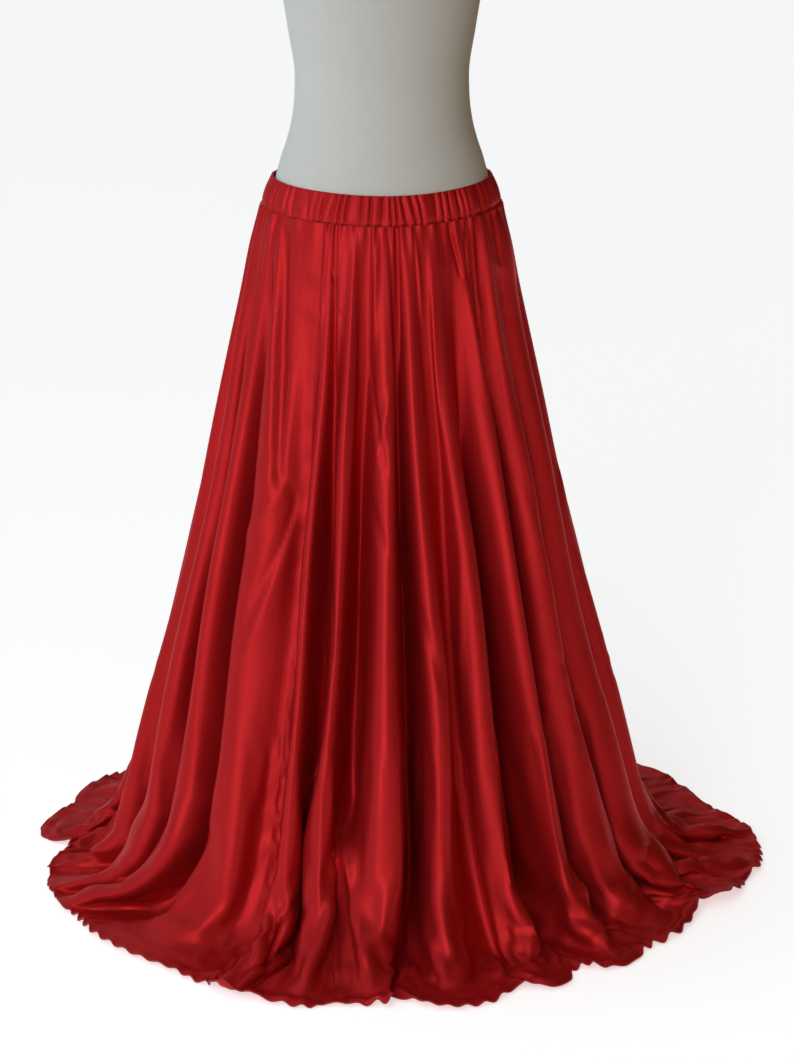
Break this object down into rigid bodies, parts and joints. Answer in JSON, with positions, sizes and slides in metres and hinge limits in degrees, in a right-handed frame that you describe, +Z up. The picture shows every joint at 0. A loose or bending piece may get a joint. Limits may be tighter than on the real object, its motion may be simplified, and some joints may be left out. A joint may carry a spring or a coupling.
{
  "type": "circle skirt on a dress form",
  "caption": "Floor-length full circle skirt of satin, gathered on an elastic waistband and puddling at the hem, on a limbless dress form with a pole and a round base.",
  "frame": {"origin": "middle of the round base's underside, on the floor", "axes": "+Z up along the pole; the form's front faces -Y; +X is the form's own left side"},
  "size_m": [0.9268, 0.937, 1.5283],
  "materials": {
    "satin": "red satin",
    "form_cover": "smooth off-white cover",
    "wood": "pale varnished wood",
    "steel": "brushed"
  },
  "bodies": {
    "root": {"waistband": "satin", "skirt_panel_front": "satin", "skirt_panel_left": "satin", "skirt_panel_back": "satin", "skirt_panel_right": "satin", "form_torso": "form_cover", "form_neck_cap": "wood", "form_pole": "steel", "form_base": "steel"}
  },
  "joints": []
}
